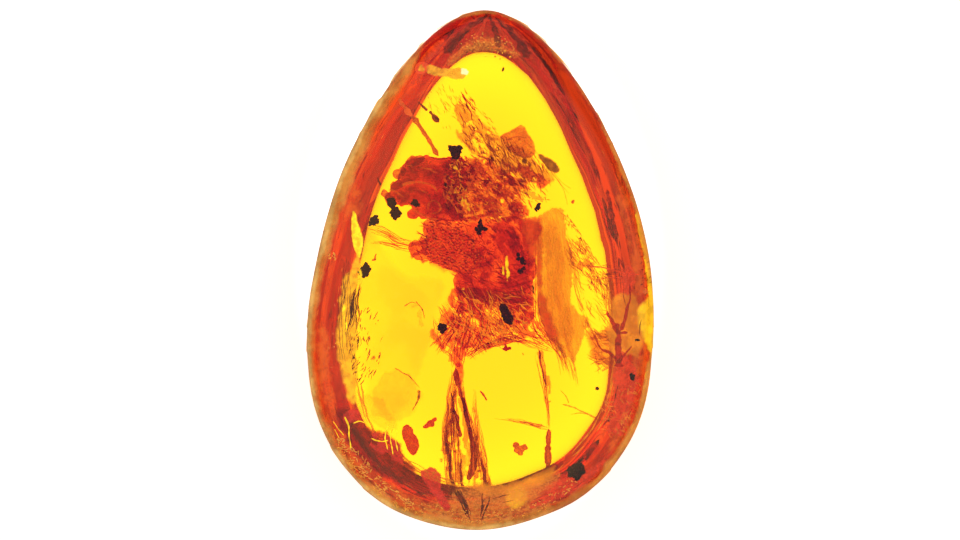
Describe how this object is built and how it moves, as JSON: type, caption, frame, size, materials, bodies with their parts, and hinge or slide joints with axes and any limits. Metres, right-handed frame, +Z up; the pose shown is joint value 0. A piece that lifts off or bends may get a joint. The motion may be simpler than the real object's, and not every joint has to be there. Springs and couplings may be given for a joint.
{
  "type": "skull in amber",
  "caption": "Polished teardrop of clear golden amber lying on its back, domed front and back with a round edge and a small flat to rest on; it encloses a tiny fossil skull.",
  "frame": {"origin": "middle of the stone seen from above, on the small flat underneath that it rests on", "axes": "+Z up through the domed front; +Y along the stone towards its pointed end; +X to the right seen from above"},
  "size_m": [0.0214, 0.032, 0.0105],
  "materials": {
    "amber": "polished clear golden amber, red where it is thick",
    "fossil": "translucent dark red skull, scaly skin and shreds sealed in the amber",
    "grit": "black and brown crumbs of soil and wood sealed in the amber"
  },
  "bodies": {
    "root": {"amber_drop": "amber"}
  },
  "joints": []
}
